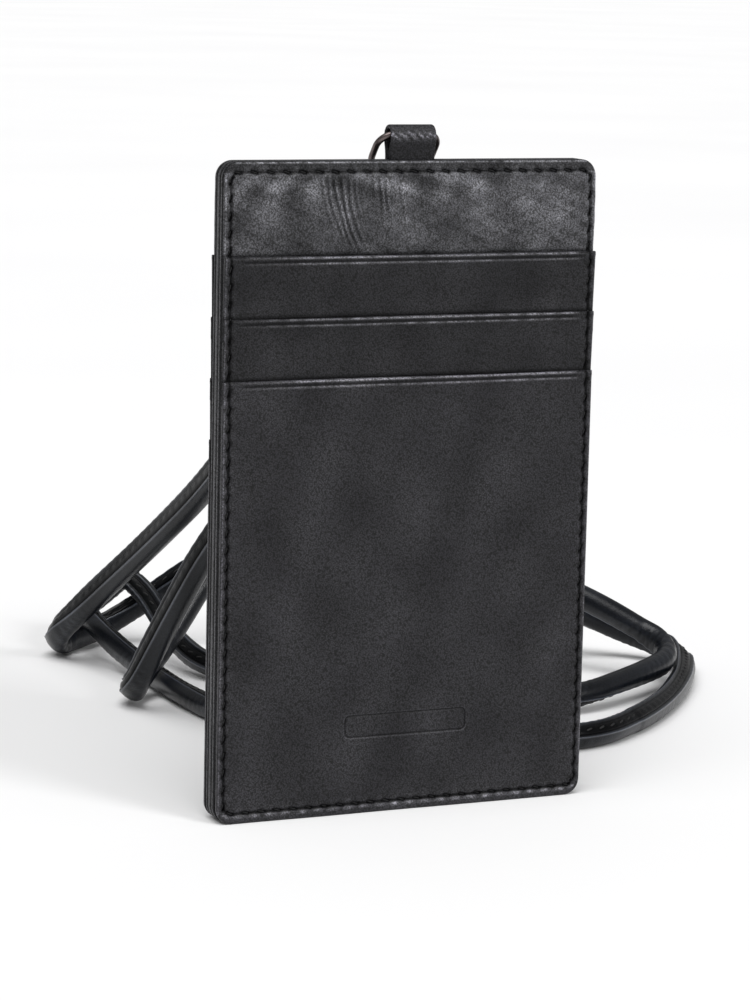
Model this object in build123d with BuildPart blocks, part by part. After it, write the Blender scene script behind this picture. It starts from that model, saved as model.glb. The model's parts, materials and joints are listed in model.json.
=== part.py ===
from build123d import *
import math
import os

# Neck pouch wallet: an upright leather card pouch, a hanger loop with a D-ring
# at its top, and a rolled leather neck cord that hangs from the ring and lies in
# a loose heap behind the pouch.
#
# Frame: millimetres, +X to the right seen from the front, +Y to the back, +Z up.
# The origin is the middle of the pouch's bottom edge, on the surface it stands on.

# ---- driving dimensions -------------------------------------------------------
BODY_W = 72.5            # pouch width
BODY_H = 118.0           # pouch height
CORNER_R = 3.0           # rounded corners of the outline
FACE_Y = 2.55            # outer face of each body panel, from the mid-plane
PANEL_T = 1.2            # leather of each body panel
RIM_W = 2.6              # turned edge that closes the pouch all round
SPLIT_Y = -0.4           # where the front and rear turned edges meet
EDGE_R = 0.5             # rounding of the panels' outer edges
INNER_CORNER_R = 1.0     # corners inside the turned edge
BOARD_T = 1.0            # stiffener in the mid-plane
BOARD_GAP_SIDE = 0.2     # board to turned edge, at the sides
BOARD_GAP_END = 0.4      # and at the top and bottom

HEM_TOP = 101.4          # height of the highest pocket hem
PITCH = 10.9             # drop from one hem to the next
FRONT_POCKETS = 3
REAR_POCKETS = 4
HEM_PROUD = 0.85         # how far a hem stands off the body panel
TUCK_T = 0.42            # facing thickness where it tucks under the next hem
TUCK_LEN = 4.0
HEM_R = 0.3
CARD_DEPTH = 75.0        # how deep a card goes below its hem
RECESS_DEPTH = 0.5       # skived into each body panel for the pocket linings
RECESS_W = 62.0
RECESS_BOTTOM = 3.0
RECESS_BELOW_HEM = 2.0
LINING_GAP = 0.5         # between a lining and the recess's edges
LINING_T = 0.12
LINING_STEP = 0.125

SEAM_SIDE = 1.2          # stitch line to the side edges
SEAM_TOP = 1.9           # stitch line to the top and bottom edges
STITCH_PITCH = 3.12
STITCH_LEN = 2.1
STITCH_W = 0.5           # also its thickness, half of it sunk

LOOP_W = 8.8             # hanger loop, along X
LOOP_TOP = 124.3
LOOP_DEPTH = 3.6
LOOP_HEAD_H = 5.2
LOOP_HEAD_R = 1.3
LOOP_TAIL_Z = 106.0
LOOP_TAIL_T = 2.6
NOTCH_GAP = 0.1          # between the loop and the notches that it sits in
TUNNEL_W = 2.24
TUNNEL_H = 3.5
TUNNEL_ROOF = 0.8

RING_WIRE_R = 0.6
RING_HALF_W = 5.85       # centre line of the wire
RING_CORNER_R = 3.1
RING_SIDE = 2.1          # straight part of each side
RING_LEAN = 41.0         # degrees from hanging straight down
PIVOT_Z = 122.3          # the ring turns about this line in the tunnel
BAR_ABOVE_PIVOT = 0.44

TAB_LEAN = 45.0
TAB_W = 12.4
TAB_T = 6.4
TAB_EYE_R = 1.8
TAB_BORE_R = 1.0
TAB_EYE_W = 5.0
TAB_NECK = 1.0           # along the tab, where the flare starts
TAB_NECK_T = 2.6
TAB_NECK_R = 0.6
TAB_SHOULDER = 6.0       # and where it is full width
TAB_R = 2.4
TAB_END = (19.0, 102.28)  # Y and Z of the face that holds the cord's ends
EYE_INSIDE_BOW = 0.32    # eye centre, inside the ring's bow
TAB_ROWS = (8.5, 2.2)    # stitch rows, back from the end face
TAB_ROW_PITCH = 2.9

CORD_D = 5.2

# Points of the cord's route, from the tab's left socket round to its right one.
CORD_ROUTE = [
    (-3.0, 19.0, 102.28), (-3.0, 33.0, 88.28), (-4.5, 54.0, 68.0), (-4.8, 80.0, 48.5),
    (-8.0, 106.0, 31.5), (-12.0, 124.0, 19.0), (-15.2, 134.0, 11.0), (-17.5, 139.5, 6.0),
    (-15.8, 144.5, 2.6), (-9.5, 149.0, 2.6), (-1.5, 153.0, 4.0), (8.3, 151.0, 10.2),
    (19.0, 144.0, 20.0), (38.0, 130.0, 26.5), (62.0, 112.0, 25.5), (79.0, 98.0, 20.5),
    (90.0, 89.5, 14.8), (98.1, 84.0, 9.6), (99.4, 78.5, 7.4), (96.5, 72.5, 6.3),
    (90.5, 68.0, 5.6), (81.0, 63.0, 4.7), (68.5, 57.2, 3.5), (53.0, 57.0, 2.6),
    (37.0, 72.0, 2.6), (20.0, 92.0, 2.6), (6.5, 109.0, 2.6), (4.5, 127.0, 6.0),
    (3.7, 141.1, 13.6), (-0.6, 148.0, 17.5), (4.8, 158.2, 14.4), (-4.0, 160.5, 7.1),
    (-9.7, 146.1, 9.8), (-8.6, 128.0, 5.5), (-6.5, 111.0, 2.6), (-7.5, 90.0, 2.6),
    (-6.0, 66.0, 2.6), (12.0, 45.0, 2.6), (33.0, 30.0, 2.6), (55.0, 27.0, 2.6),
    (71.5, 38.5, 2.6), (85.5, 52.0, 2.6), (98.2, 68.5, 2.6), (107.5, 84.0, 2.6),
    (110.0, 96.0, 3.4), (102.5, 103.5, 6.0), (93.0, 106.5, 10.5), (80.0, 112.0, 16.0),
    (64.0, 123.0, 24.5), (42.0, 122.5, 37.5), (20.0, 114.0, 37.0), (4.0, 106.5, 23.0),
    (-3.5, 102.2, 14.5), (-8.3, 100.0, 9.4), (-13.2, 98.0, 4.8), (-17.4, 93.5, 2.6),
    (-18.4, 88.0, 5.2), (-16.5, 83.5, 13.0), (-14.2, 75.0, 25.0), (-11.5, 64.0, 39.0),
    (-3.5, 44.0, 62.0), (3.0, 33.0, 88.28), (3.0, 19.0, 102.28),
]

# ---- worked out from them -----------------------------------------------------
INNER_Y = FACE_Y - PANEL_T
OUTER_Y = FACE_Y + HEM_PROUD
MID_Z = BODY_H / 2
BOARD_W = BODY_W - 2 * (RIM_W + BOARD_GAP_SIDE)
BOARD_H = BODY_H - 2 * (RIM_W + BOARD_GAP_END)
BOARD_TOP = MID_Z + BOARD_H / 2
NOTCH_W = LOOP_W + NOTCH_GAP
FRONT = -1
REAR = 1


def face_plane(side, distance):
    """Upright plane on the pouch's front or rear side, that far from the mid-plane."""
    return Plane.XZ.offset(-side * distance)


def outward(side, amount):
    """Extrusion amount that leads away from the mid-plane on that side."""
    return -side * amount


def hem_height(number):
    """Height of a pocket's hem, counted from 0 at the highest."""
    return HEM_TOP - number * PITCH


def surface_y(height, pockets):
    """Distance of the outer leather surface from the mid-plane at a height."""
    if height > HEM_TOP:
        return FACE_Y
    lowest_hem = hem_height(pockets - 1)
    if height < lowest_hem:
        return OUTER_Y
    below_hem = (HEM_TOP - height) % PITCH
    return FACE_Y + HEM_PROUD + (TUCK_T - HEM_PROUD) * below_hem / PITCH


def body_panel(side, rim_depth):
    """One leather half of the pouch: outer panel, turned edge and lining recess."""
    with BuildPart() as panel:
        with BuildSketch(face_plane(side, INNER_Y)):
            with Locations((0, MID_Z)):
                RectangleRounded(BODY_W, BODY_H, CORNER_R)
        extrude(amount=outward(side, PANEL_T))
        outer_face = panel.faces().sort_by(Axis.Y)[0 if side == FRONT else -1]
        fillet(outer_face.edges(), EDGE_R)
        with BuildSketch(face_plane(side, INNER_Y)):
            with Locations((0, MID_Z)):
                RectangleRounded(BODY_W, BODY_H, CORNER_R)
                inner_size = (BODY_W - 2 * RIM_W, BODY_H - 2 * RIM_W)
                RectangleRounded(*inner_size, INNER_CORNER_R, mode=Mode.SUBTRACT)
        extrude(amount=outward(side, -rim_depth))
        with BuildSketch(face_plane(side, INNER_Y)):
            with Locations((0, BODY_H)):
                Rectangle(NOTCH_W, 2 * (RIM_W + NOTCH_GAP))
        extrude(amount=outward(side, -rim_depth), mode=Mode.SUBTRACT)
        with BuildSketch(face_plane(side, FACE_Y)):
            recess_h = HEM_TOP - RECESS_BELOW_HEM - RECESS_BOTTOM
            with Locations((0, RECESS_BOTTOM + recess_h / 2)):
                Rectangle(RECESS_W, recess_h)
        extrude(amount=outward(side, -RECESS_DEPTH), mode=Mode.SUBTRACT)
    return panel.part


def pocket_facing(side, number, pockets):
    """Leather front of one card pocket: a proud hem that thins down to its tuck."""
    top = hem_height(number)
    covered = number > 0
    last = number == pockets - 1
    bottom = 0.0 if last else top - PITCH - TUCK_LEN
    profile = [(FACE_Y, bottom)]
    if covered:
        profile += [(FACE_Y, top - TUCK_LEN), (FACE_Y + TUCK_T, top - TUCK_LEN)]
        profile += [(FACE_Y + TUCK_T, top)]
    else:
        profile += [(FACE_Y, top)]
    profile += [(OUTER_Y, top)]
    if last:
        profile += [(OUTER_Y, bottom)]
    else:
        profile += [(FACE_Y + TUCK_T, top - PITCH), (FACE_Y + TUCK_T, bottom)]
    with BuildPart() as facing:
        with BuildSketch(Plane.YZ):
            with BuildLine():
                Polyline(*[(side * y, z) for y, z in profile], close=True)
            make_face()
        extrude(amount=BODY_W / 2, both=True)
        hem = facing.edges().filter_by(Axis.X).group_by(Axis.Z)[-1].sort_by(Axis.Y)
        fillet(hem[0 if side == FRONT else -1], HEM_R)
        if last:
            fillet(facing.edges().filter_by(Axis.Y).group_by(Axis.Z)[0], CORNER_R)
    return facing.part


def pocket_lining(side, number):
    """Fabric leg of one pocket, flat in the body panel's recess."""
    top = hem_height(number) - TUCK_LEN
    bottom = max(hem_height(number) - CARD_DEPTH, RECESS_BOTTOM + LINING_GAP)
    start = FACE_Y - RECESS_DEPTH + number * LINING_STEP
    with BuildPart() as lining:
        with BuildSketch(face_plane(side, start)):
            with Locations((0, (top + bottom) / 2)):
                Rectangle(RECESS_W - 2 * LINING_GAP, top - bottom)
        extrude(amount=outward(side, LINING_T))
    return lining.part


def padding(side):
    """Thin felt between the stiffener and a body panel, notched for the loop's tail."""
    with BuildPart() as sheet:
        with BuildSketch(face_plane(side, BOARD_T / 2)):
            with Locations((0, MID_Z)):
                RectangleRounded(BOARD_W, BOARD_H, INNER_CORNER_R)
            with Locations((0, BODY_H)):
                notch_h = 2 * (BODY_H - LOOP_TAIL_Z + NOTCH_GAP)
                Rectangle(NOTCH_W, notch_h, mode=Mode.SUBTRACT)
        extrude(amount=outward(side, INNER_Y - BOARD_T / 2))
    return sheet.part


def stitching(side, pockets):
    """The seam's visible stitches, half sunk into the leather of one face."""
    column_x = BODY_W / 2 - SEAM_SIDE
    row_heights = [SEAM_TOP, BODY_H - SEAM_TOP]
    column_run = BODY_H - 2 * SEAM_TOP - 2 * STITCH_PITCH
    column_count = round(column_run / STITCH_PITCH) + 1
    row_run = 2 * column_x - 2 * STITCH_PITCH
    row_count = round(row_run / STITCH_PITCH) + 1
    column_spots = []
    for index in range(column_count):
        height = SEAM_TOP + STITCH_PITCH + index * column_run / (column_count - 1)
        y = side * surface_y(height, pockets)
        column_spots += [(-column_x, y, height), (column_x, y, height)]
    row_spots = []
    for index in range(row_count):
        x = -row_run / 2 + index * row_run / (row_count - 1)
        row_spots += [(x, side * surface_y(z, pockets), z) for z in row_heights]
    with BuildPart() as thread:
        with Locations(*column_spots):
            Box(STITCH_W, STITCH_W, STITCH_LEN)
        with Locations(*row_spots):
            Box(STITCH_LEN, STITCH_W, STITCH_W)
    return thread.part


def save(piece, label):
    """Label a finished piece and write its STEP file."""
    piece.label = label
    export_step(piece, f"parts/{label}.step")


os.makedirs("parts", exist_ok=True)

# ---- pouch: panels, stiffener, padding ------------------------------------------
with BuildPart() as front_body:
    add(body_panel(FRONT, INNER_Y + SPLIT_Y))

with BuildPart() as rear_body:
    add(body_panel(REAR, INNER_Y - SPLIT_Y))

with BuildPart() as centre_board:
    with BuildSketch(Plane.XZ.offset(-BOARD_T / 2)):
        with Locations((0, MID_Z)):
            RectangleRounded(BOARD_W, BOARD_H, INNER_CORNER_R)
    extrude(amount=BOARD_T)

with BuildPart() as front_padding:
    add(padding(FRONT))

with BuildPart() as rear_padding:
    add(padding(REAR))

# ---- pockets and their linings --------------------------------------------------
FRONT_NAMES = ["upper", "middle", "lower"]
REAR_NAMES = ["first", "second", "third", "fourth"]
pocket_pieces = {}
for number, name in enumerate(FRONT_NAMES):
    pocket_pieces[f"front_pocket_{name}"] = pocket_facing(FRONT, number, FRONT_POCKETS)
    pocket_pieces[f"front_lining_{name}"] = pocket_lining(FRONT, number)
for number, name in enumerate(REAR_NAMES):
    pocket_pieces[f"rear_pocket_{name}"] = pocket_facing(REAR, number, REAR_POCKETS)
    pocket_pieces[f"rear_lining_{name}"] = pocket_lining(REAR, number)

# ---- seams ------------------------------------------------------------------------
with BuildPart() as front_stitching:
    add(stitching(FRONT, FRONT_POCKETS))

with BuildPart() as rear_stitching:
    add(stitching(REAR, REAR_POCKETS))

# ---- hanger loop: a folded leather strap with a tunnel at its top ------------------
with BuildPart() as hanger_loop:
    with BuildSketch(Plane.YZ):
        head_mid = LOOP_TOP - LOOP_HEAD_H / 2
        with Locations((0, (LOOP_TAIL_Z + head_mid) / 2)):
            Rectangle(LOOP_TAIL_T, head_mid - LOOP_TAIL_Z)
        with Locations((0, head_mid)):
            RectangleRounded(LOOP_DEPTH, LOOP_HEAD_H, LOOP_HEAD_R)
        with Locations((0, LOOP_TAIL_Z)):
            slit_h = 2 * (BOARD_TOP + NOTCH_GAP - LOOP_TAIL_Z)
            Rectangle(BOARD_T, slit_h, mode=Mode.SUBTRACT)
        with Locations((0, LOOP_TOP - TUNNEL_ROOF - TUNNEL_H / 2)):
            SlotOverall(TUNNEL_H, TUNNEL_W, rotation=90, mode=Mode.SUBTRACT)
    extrude(amount=LOOP_W / 2, both=True)

# ---- D-ring: leans back on the pouch's rear top edge -------------------------------
lean = math.radians(RING_LEAN)
ring_out = Vector(0, math.sin(lean), -math.cos(lean))
pivot = Vector(0, 0, PIVOT_Z)
ring_plane = Plane(origin=pivot, x_dir=(1, 0, 0), z_dir=Vector(1, 0, 0).cross(-ring_out))
half_bar = RING_HALF_W - RING_CORNER_R
corner_y = BAR_ABOVE_PIVOT - RING_CORNER_R
bow_y = corner_y - RING_SIDE

with BuildPart() as ring:
    with BuildLine(ring_plane) as ring_path:
        Line((-half_bar, BAR_ABOVE_PIVOT), (half_bar, BAR_ABOVE_PIVOT))
        CenterArc((half_bar, corner_y), RING_CORNER_R, 0, 90)
        Line((RING_HALF_W, corner_y), (RING_HALF_W, bow_y))
        CenterArc((0, bow_y), RING_HALF_W, 180, 180)
        Line((-RING_HALF_W, bow_y), (-RING_HALF_W, corner_y))
        CenterArc((-half_bar, corner_y), RING_CORNER_R, 90, 90)
    ring_wire = ring_path.wires()[0]
    with BuildSketch(Plane(origin=ring_wire @ 0, z_dir=ring_wire % 0)):
        Circle(RING_WIRE_R)
    sweep(path=ring_wire)

# ---- cord tab: an eye on the ring's bow, flaring to hold both cord ends ------------
eye = pivot + ring_out * (RING_HALF_W - bow_y - EYE_INSIDE_BOW)
tab_out = Vector(0, math.sin(math.radians(TAB_LEAN)), -math.cos(math.radians(TAB_LEAN)))
tab_length = (Vector(0, *TAB_END) - eye).dot(tab_out)
tab_plane = Plane(origin=eye, x_dir=(1, 0, 0), z_dir=tab_out)
eye_plane = Plane(origin=eye, x_dir=(0, 1, 0), z_dir=(1, 0, 0))

with BuildPart() as cord_tab:
    with BuildSketch(eye_plane):
        Circle(TAB_EYE_R)
    extrude(amount=TAB_EYE_W / 2, both=True)
    with BuildSketch(tab_plane.offset(TAB_NECK)):
        RectangleRounded(TAB_EYE_W, TAB_NECK_T, TAB_NECK_R)
    with BuildSketch(tab_plane.offset(TAB_SHOULDER)):
        RectangleRounded(TAB_W, TAB_T, TAB_R)
    loft()
    with BuildSketch(tab_plane.offset(TAB_SHOULDER)):
        RectangleRounded(TAB_W, TAB_T, TAB_R)
    extrude(amount=tab_length - TAB_SHOULDER)
    with BuildSketch(eye_plane):
        Circle(TAB_BORE_R)
    extrude(amount=TAB_EYE_W, both=True, mode=Mode.SUBTRACT)

with BuildPart() as tab_stitching:
    for from_end in TAB_ROWS:
        with Locations(tab_plane.offset(tab_length - from_end)):
            with GridLocations(TAB_ROW_PITCH, TAB_T, 3, 2):
                Box(STITCH_LEN, STITCH_W, STITCH_W)

# ---- neck cord: straight runs joined by tangent arcs --------------------------------
points = [Vector(*point) for point in CORD_ROUTE]
cord_radii = []
for before, corner, after in zip(points, points[1:], points[2:]):
    half_turn = math.radians((corner - before).get_angle(after - corner)) / 2
    shorter = min((corner - before).length, (after - corner).length)
    cord_radii.append(0.45 * shorter / math.tan(half_turn))

with BuildPart() as neck_cord:
    with BuildLine() as cord_path:
        FilletPolyline(*CORD_ROUTE, radius=cord_radii)
    cord_wire = cord_path.wires()[0]
    with BuildSketch(Plane(origin=points[0], z_dir=points[1] - points[0])):
        Circle(CORD_D / 2)
    sweep(path=cord_wire)

expected = math.pi * (CORD_D / 2) ** 2 * cord_wire.length
print("cord length", round(cord_wire.length, 1), "mm")
print("cord volume over section times length", round(neck_cord.part.volume / expected, 4))
print("cord radii", [round(radius, 1) for radius in cord_radii])

# ---- files ---------------------------------------------------------------------------
single_pieces = {
    "front_body": front_body.part,
    "rear_body": rear_body.part,
    "centre_board": centre_board.part,
    "front_padding": front_padding.part,
    "rear_padding": rear_padding.part,
    "front_stitching": front_stitching.part,
    "rear_stitching": rear_stitching.part,
    "hanger_loop": hanger_loop.part,
    "ring": ring.part,
    "cord_tab": cord_tab.part,
    "tab_stitching": tab_stitching.part,
    "neck_cord": neck_cord.part,
}
for label, piece in {**single_pieces, **pocket_pieces}.items():
    save(piece, label)
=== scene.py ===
import json
import math

import bmesh
import bpy
import numpy as np
from mathutils import Matrix, Vector


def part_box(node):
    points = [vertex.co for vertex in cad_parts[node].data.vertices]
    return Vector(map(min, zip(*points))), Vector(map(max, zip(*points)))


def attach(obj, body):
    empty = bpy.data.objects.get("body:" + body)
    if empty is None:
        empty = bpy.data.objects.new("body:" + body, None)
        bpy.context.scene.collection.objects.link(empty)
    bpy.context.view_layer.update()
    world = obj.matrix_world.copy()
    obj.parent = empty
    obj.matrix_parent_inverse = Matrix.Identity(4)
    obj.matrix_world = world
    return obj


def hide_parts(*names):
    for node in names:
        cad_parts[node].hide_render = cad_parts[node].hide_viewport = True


# Looks of the neck pouch wallet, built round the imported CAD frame.
# Metres, +X right seen from the front, +Y to the back, +Z up, origin at the middle
# of the pouch's bottom edge. "Out" means the distance from the pouch's mid-plane,
# measured towards the front or the rear face.

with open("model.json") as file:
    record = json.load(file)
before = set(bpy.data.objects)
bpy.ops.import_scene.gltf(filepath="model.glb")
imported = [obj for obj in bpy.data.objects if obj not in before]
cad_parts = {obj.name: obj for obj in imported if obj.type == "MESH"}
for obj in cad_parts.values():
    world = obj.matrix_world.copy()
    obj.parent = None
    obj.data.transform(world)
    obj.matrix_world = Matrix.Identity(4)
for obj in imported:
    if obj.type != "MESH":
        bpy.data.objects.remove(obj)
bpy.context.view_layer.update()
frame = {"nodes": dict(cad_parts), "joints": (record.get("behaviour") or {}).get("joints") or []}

MM = 0.001

# ---- camera ----
CAMERA_AZIMUTH = math.radians(-24.27)
CAMERA_ELEVATION = math.radians(9.31)
CAMERA_ROLL = math.radians(1.32)
CAMERA_PLACE = (-0.25709, -0.55857, 0.15737)
CAMERA_LENS = 124.2
CAMERA_SENSOR = 36.0

# ---- neck cord ----
CORD_ROUTE_MM = [
    (-3.0, 19.0, 102.28), (-3.0, 33.0, 88.28), (-4.5, 54.0, 68.0), (-4.8, 80.0, 48.5),
    (-8.0, 106.0, 31.5), (-12.0, 124.0, 19.0), (-15.2, 134.0, 11.0), (-17.5, 139.5, 6.0),
    (-15.8, 144.5, 2.6), (-9.5, 149.0, 2.6), (-1.5, 153.0, 4.0), (8.3, 151.0, 10.2),
    (19.0, 144.0, 20.0), (38.0, 130.0, 26.5), (62.0, 112.0, 25.5), (79.0, 98.0, 20.5),
    (90.0, 89.5, 14.8), (98.1, 84.0, 9.6), (99.4, 78.5, 7.4), (96.5, 72.5, 6.3),
    (90.5, 68.0, 5.6), (81.0, 63.0, 4.7), (68.5, 57.2, 3.5), (53.0, 57.0, 2.6),
    (37.0, 72.0, 2.6), (20.0, 92.0, 2.6), (6.5, 109.0, 2.6), (4.5, 127.0, 6.0),
    (3.7, 141.1, 13.6), (-0.6, 148.0, 17.5), (4.8, 158.2, 14.4), (-4.0, 160.5, 7.1),
    (-9.7, 146.1, 9.8), (-8.6, 128.0, 5.5), (-6.5, 111.0, 2.6), (-7.5, 90.0, 2.6),
    (-6.0, 66.0, 2.6), (12.0, 45.0, 2.6), (33.0, 30.0, 2.6), (55.0, 27.0, 2.6),
    (71.5, 38.5, 2.6), (85.5, 52.0, 2.6), (98.2, 68.5, 2.6), (107.5, 84.0, 2.6),
    (110.0, 96.0, 3.4), (102.5, 103.5, 6.0), (93.0, 106.5, 10.5), (80.0, 112.0, 16.0),
    (64.0, 123.0, 24.5), (42.0, 122.5, 37.5), (20.0, 114.0, 37.0), (4.0, 106.5, 23.0),
    (-3.5, 102.2, 14.5), (-8.3, 100.0, 9.4), (-13.2, 98.0, 4.8), (-17.4, 93.5, 2.6),
    (-18.4, 88.0, 5.2), (-16.5, 83.5, 13.0), (-14.2, 75.0, 25.0), (-11.5, 64.0, 39.0),
    (-3.5, 44.0, 62.0), (3.0, 33.0, 88.28), (3.0, 19.0, 102.28),
]
CORD_ROUTE = [tuple(value * MM for value in point) for point in CORD_ROUTE_MM]
CORD_BODY_R = 2.42 * MM       # rolled leather, without its sewn flap
CORD_RING_STEP = 0.8 * MM
CORD_STITCH_PITCH = 3.1 * MM
CORD_THREAD = (1.9 * MM, 0.2 * MM)    # a stitch's length and its thread's radius
# Which way the sewn flap faces, at some of the route's points.
CORD_FLAP_FACES = [
    (0, (-0.6, -0.55, 0.52)), (2, (-0.6, -0.55, 0.52)), (4, (-0.6, -0.55, 0.52)),
    (6, (-0.62, -0.45, 0.58)), (7, (-0.7, -0.1, 0.7)), (8, (-0.6, 0.2, 0.8)),
    (9, (-0.3, 0.3, 0.9)), (10, (-0.5, -0.3, 0.8)), (12, (-0.54, -0.48, 0.67)),
    (15, (-0.1, 0.5, -1.0)), (18, (-0.2, -0.6, -0.8)), (23, (-0.2, -0.8, -0.6)),
    (25, (-0.25, -0.93, 0.3)), (28, (-0.25, -0.93, 0.3)), (32, (0.39, -0.6, 0.73)),
    (34, (0.39, -0.6, 0.73)), (36, (0.35, -0.62, 0.73)), (39, (-0.2, -0.8, 0.7)),
    (43, (-0.2, -0.8, 0.8)), (46, (-0.1, 0.5, -1.0)), (50, (0.2, 0.5, 0.9)),
    (52, (-0.2, 0.4, 0.9)), (54, (-0.4, 0.4, 0.8)), (56, (-0.8, -0.3, 0.47)),
    (58, (-0.8, -0.32, 0.46)), (60, (-0.8, -0.32, 0.46)), (62, (-0.8, -0.32, 0.46)),
]
# How thick the roll is at some of the route's points, next to its usual radius.
CORD_FULL_AT = (0, 7, 9, 11, 55, 57, 62)
CORD_FULLNESS = (1.09, 1.1, 1.02, 0.99, 0.99, 1.07, 1.07)
CORD_LAPS = (0.372, 0.655)    # where its leather laps over itself, along its length


def make_camera():
    data = bpy.data.cameras.new("camera")
    data.lens = CAMERA_LENS
    data.sensor_width = CAMERA_SENSOR
    data.clip_start = 0.01
    data.clip_end = 100.0
    level = math.cos(CAMERA_ELEVATION)
    forward = Vector((-math.sin(CAMERA_AZIMUTH) * level, math.cos(CAMERA_AZIMUTH) * level,
                      -math.sin(CAMERA_ELEVATION)))
    right = Vector((math.cos(CAMERA_AZIMUTH), math.sin(CAMERA_AZIMUTH), 0.0))
    down = forward.cross(right)
    turned_right = right * math.cos(CAMERA_ROLL) - down * math.sin(CAMERA_ROLL)
    turned_down = right * math.sin(CAMERA_ROLL) + down * math.cos(CAMERA_ROLL)
    turn = Matrix((turned_right, -turned_down, -forward)).transposed()
    camera = bpy.data.objects.new("camera", data)
    bpy.context.scene.collection.objects.link(camera)
    camera.matrix_world = Matrix.Translation(CAMERA_PLACE) @ turn.to_4x4()
    bpy.context.scene.camera = camera


# ---- mesh helpers ----
def mesh_object(name, vertices, faces, material, smooth=True, tone=None):
    """A new mesh object, its normals pointing outward.

    tone is the lightness painted at each vertex, mostly painted shade and painted highlights with
    some mottling: 0.5 plain, lower darker, higher lighter.
    """
    mesh = bpy.data.meshes.new(name)
    mesh.from_pydata([tuple(vertex) for vertex in vertices], [], faces)
    # The tone values: painted shade and painted highlights, with some mottling.
    wear_and_painted_shading = np.full(len(vertices), 0.5) if tone is None else np.clip(tone, 0.0, 1.0)
    mesh.attributes.new("tone", "FLOAT", "POINT").data.foreach_set("value", wear_and_painted_shading)
    work = bmesh.new()
    work.from_mesh(mesh)
    bmesh.ops.recalc_face_normals(work, faces=work.faces)
    work.to_mesh(mesh)
    work.free()
    if smooth:
        mesh.polygons.foreach_set("use_smooth", [True] * len(mesh.polygons))
    mesh.materials.append(material)
    piece = bpy.data.objects.new(name, mesh)
    bpy.context.scene.collection.objects.link(piece)
    return piece


def tube_faces(rings, around):
    """Faces of a closed tube of rings, with both ends capped."""
    faces = []
    for ring in range(rings - 1):
        for spot in range(around):
            following = (spot + 1) % around
            faces.append((ring * around + spot, ring * around + following,
                          (ring + 1) * around + following, (ring + 1) * around + spot))
    faces.append(tuple(range(around)))
    faces.append(tuple(range((rings - 1) * around, rings * around)))
    return faces


def smooth_step(value, low, high):
    """0 below low, 1 above high, and smooth between them."""
    share = np.clip((value - low) / (high - low), 0.0, 1.0)
    return share * share * (3.0 - 2.0 * share)


def bell(value, width):
    """1 at zero, falling to nothing a few widths away."""
    return np.exp(-((value / width) ** 2))


def unit(vectors):
    """The same vectors at length one."""
    return vectors / np.linalg.norm(vectors, axis=-1, keepdims=True)


def smoothed(values, reach):
    """Each value averaged with its neighbours, up to reach places away."""
    window = np.hanning(2 * reach + 1)
    padded = np.pad(values, reach, mode="edge")
    return np.convolve(padded, window / window.sum(), mode="valid")


def distances(points):
    """How far along a line each of its points is."""
    return np.concatenate([[0.0], np.cumsum(np.linalg.norm(np.diff(points, axis=0), axis=1))])


def read_line(places, along, points):
    """Points of a line at the given distances along it."""
    return np.column_stack([np.interp(places, along, column) for column in points.T])


# ---- cord ----
def cord_centreline():
    """Evenly spaced points read from the route's own NURBS spline.

    Also how far along it each of the route's points has its pull.
    """
    curve = bpy.data.curves.new("cord_route", "CURVE")
    curve.dimensions = "3D"
    curve.resolution_u = 32
    spline = curve.splines.new("NURBS")
    spline.points.add(len(CORD_ROUTE) - 1)
    for control, place in zip(spline.points, CORD_ROUTE):
        control.co = (*place, 1.0)
    spline.order_u = 3
    spline.use_endpoint_u = True
    holder = bpy.data.objects.new("cord_route", curve)
    line = bpy.data.meshes.new_from_object(holder)
    points = np.array([vertex.co for vertex in line.vertices])
    bpy.data.objects.remove(holder)
    bpy.data.curves.remove(curve)
    bpy.data.meshes.remove(line)
    along = distances(points)
    even = np.linspace(0.0, along[-1], round(along[-1] / CORD_RING_STEP) + 1)
    spaced = read_line(even, along, points)
    spans = len(CORD_ROUTE) - 2
    shares = np.clip(np.arange(len(CORD_ROUTE)) - 0.5, 0.0, spans) / spans
    marks = np.interp(shares * (len(points) - 1), np.arange(len(points)), along)
    return spaced, even, marks


def cord_frames(points):
    """Tangent and a side vector at each point, the side turning as little as it can."""
    tangents = unit(np.gradient(points, axis=0))
    sides = np.zeros_like(points)
    side = np.cross(tangents[0], (0.0, 0.0, 1.0))
    for index, tangent in enumerate(tangents):
        side = side - tangent * np.dot(side, tangent)
        side = side / np.linalg.norm(side)
        sides[index] = side
    return tangents, sides


def flap_angles(tangents, sides, marks):
    """Angle of the sewn flap round the cord, at each point of the centre line."""
    across = np.cross(tangents, sides)
    count = len(tangents)
    stations = []
    angles = []
    for index, towards in CORD_FLAP_FACES:
        at = round(marks[index] / marks[-1] * (count - 1))
        angle = math.atan2(np.dot(towards, across[at]), np.dot(towards, sides[at]))
        if angles:
            angle = angles[-1] + (angle - angles[-1] + math.pi) % (2 * math.pi) - math.pi
        stations.append(at)
        angles.append(angle)
    return smoothed(np.interp(np.arange(count), stations, angles), 20)


def section_angles():
    """Angles round the cord, closer together at the sewn band's edges."""
    coarse = np.arange(-180.0, 180.0, 11.25)
    edge = np.arange(26.0, 54.0, 2.8)
    middle = np.arange(-20.0, 21.0, 8.0)
    outside = coarse[np.abs(coarse) > 56.0]
    return np.radians(np.sort(np.concatenate([outside, edge, -edge, middle])))


def cord_radius(angle):
    """Radius of the plain section: a roll whose two folded lips meet a sewn band."""
    off = np.abs(np.degrees(angle))
    band = 1.0 - smooth_step(off, 31.0, 36.0)
    lip = bell(off - 40.0, 5.0)
    foot = bell(off - 31.0, 4.0)
    return CORD_BODY_R + (0.12 + 0.2 * lip - 0.34 * band - 0.2 * foot) * MM


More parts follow.
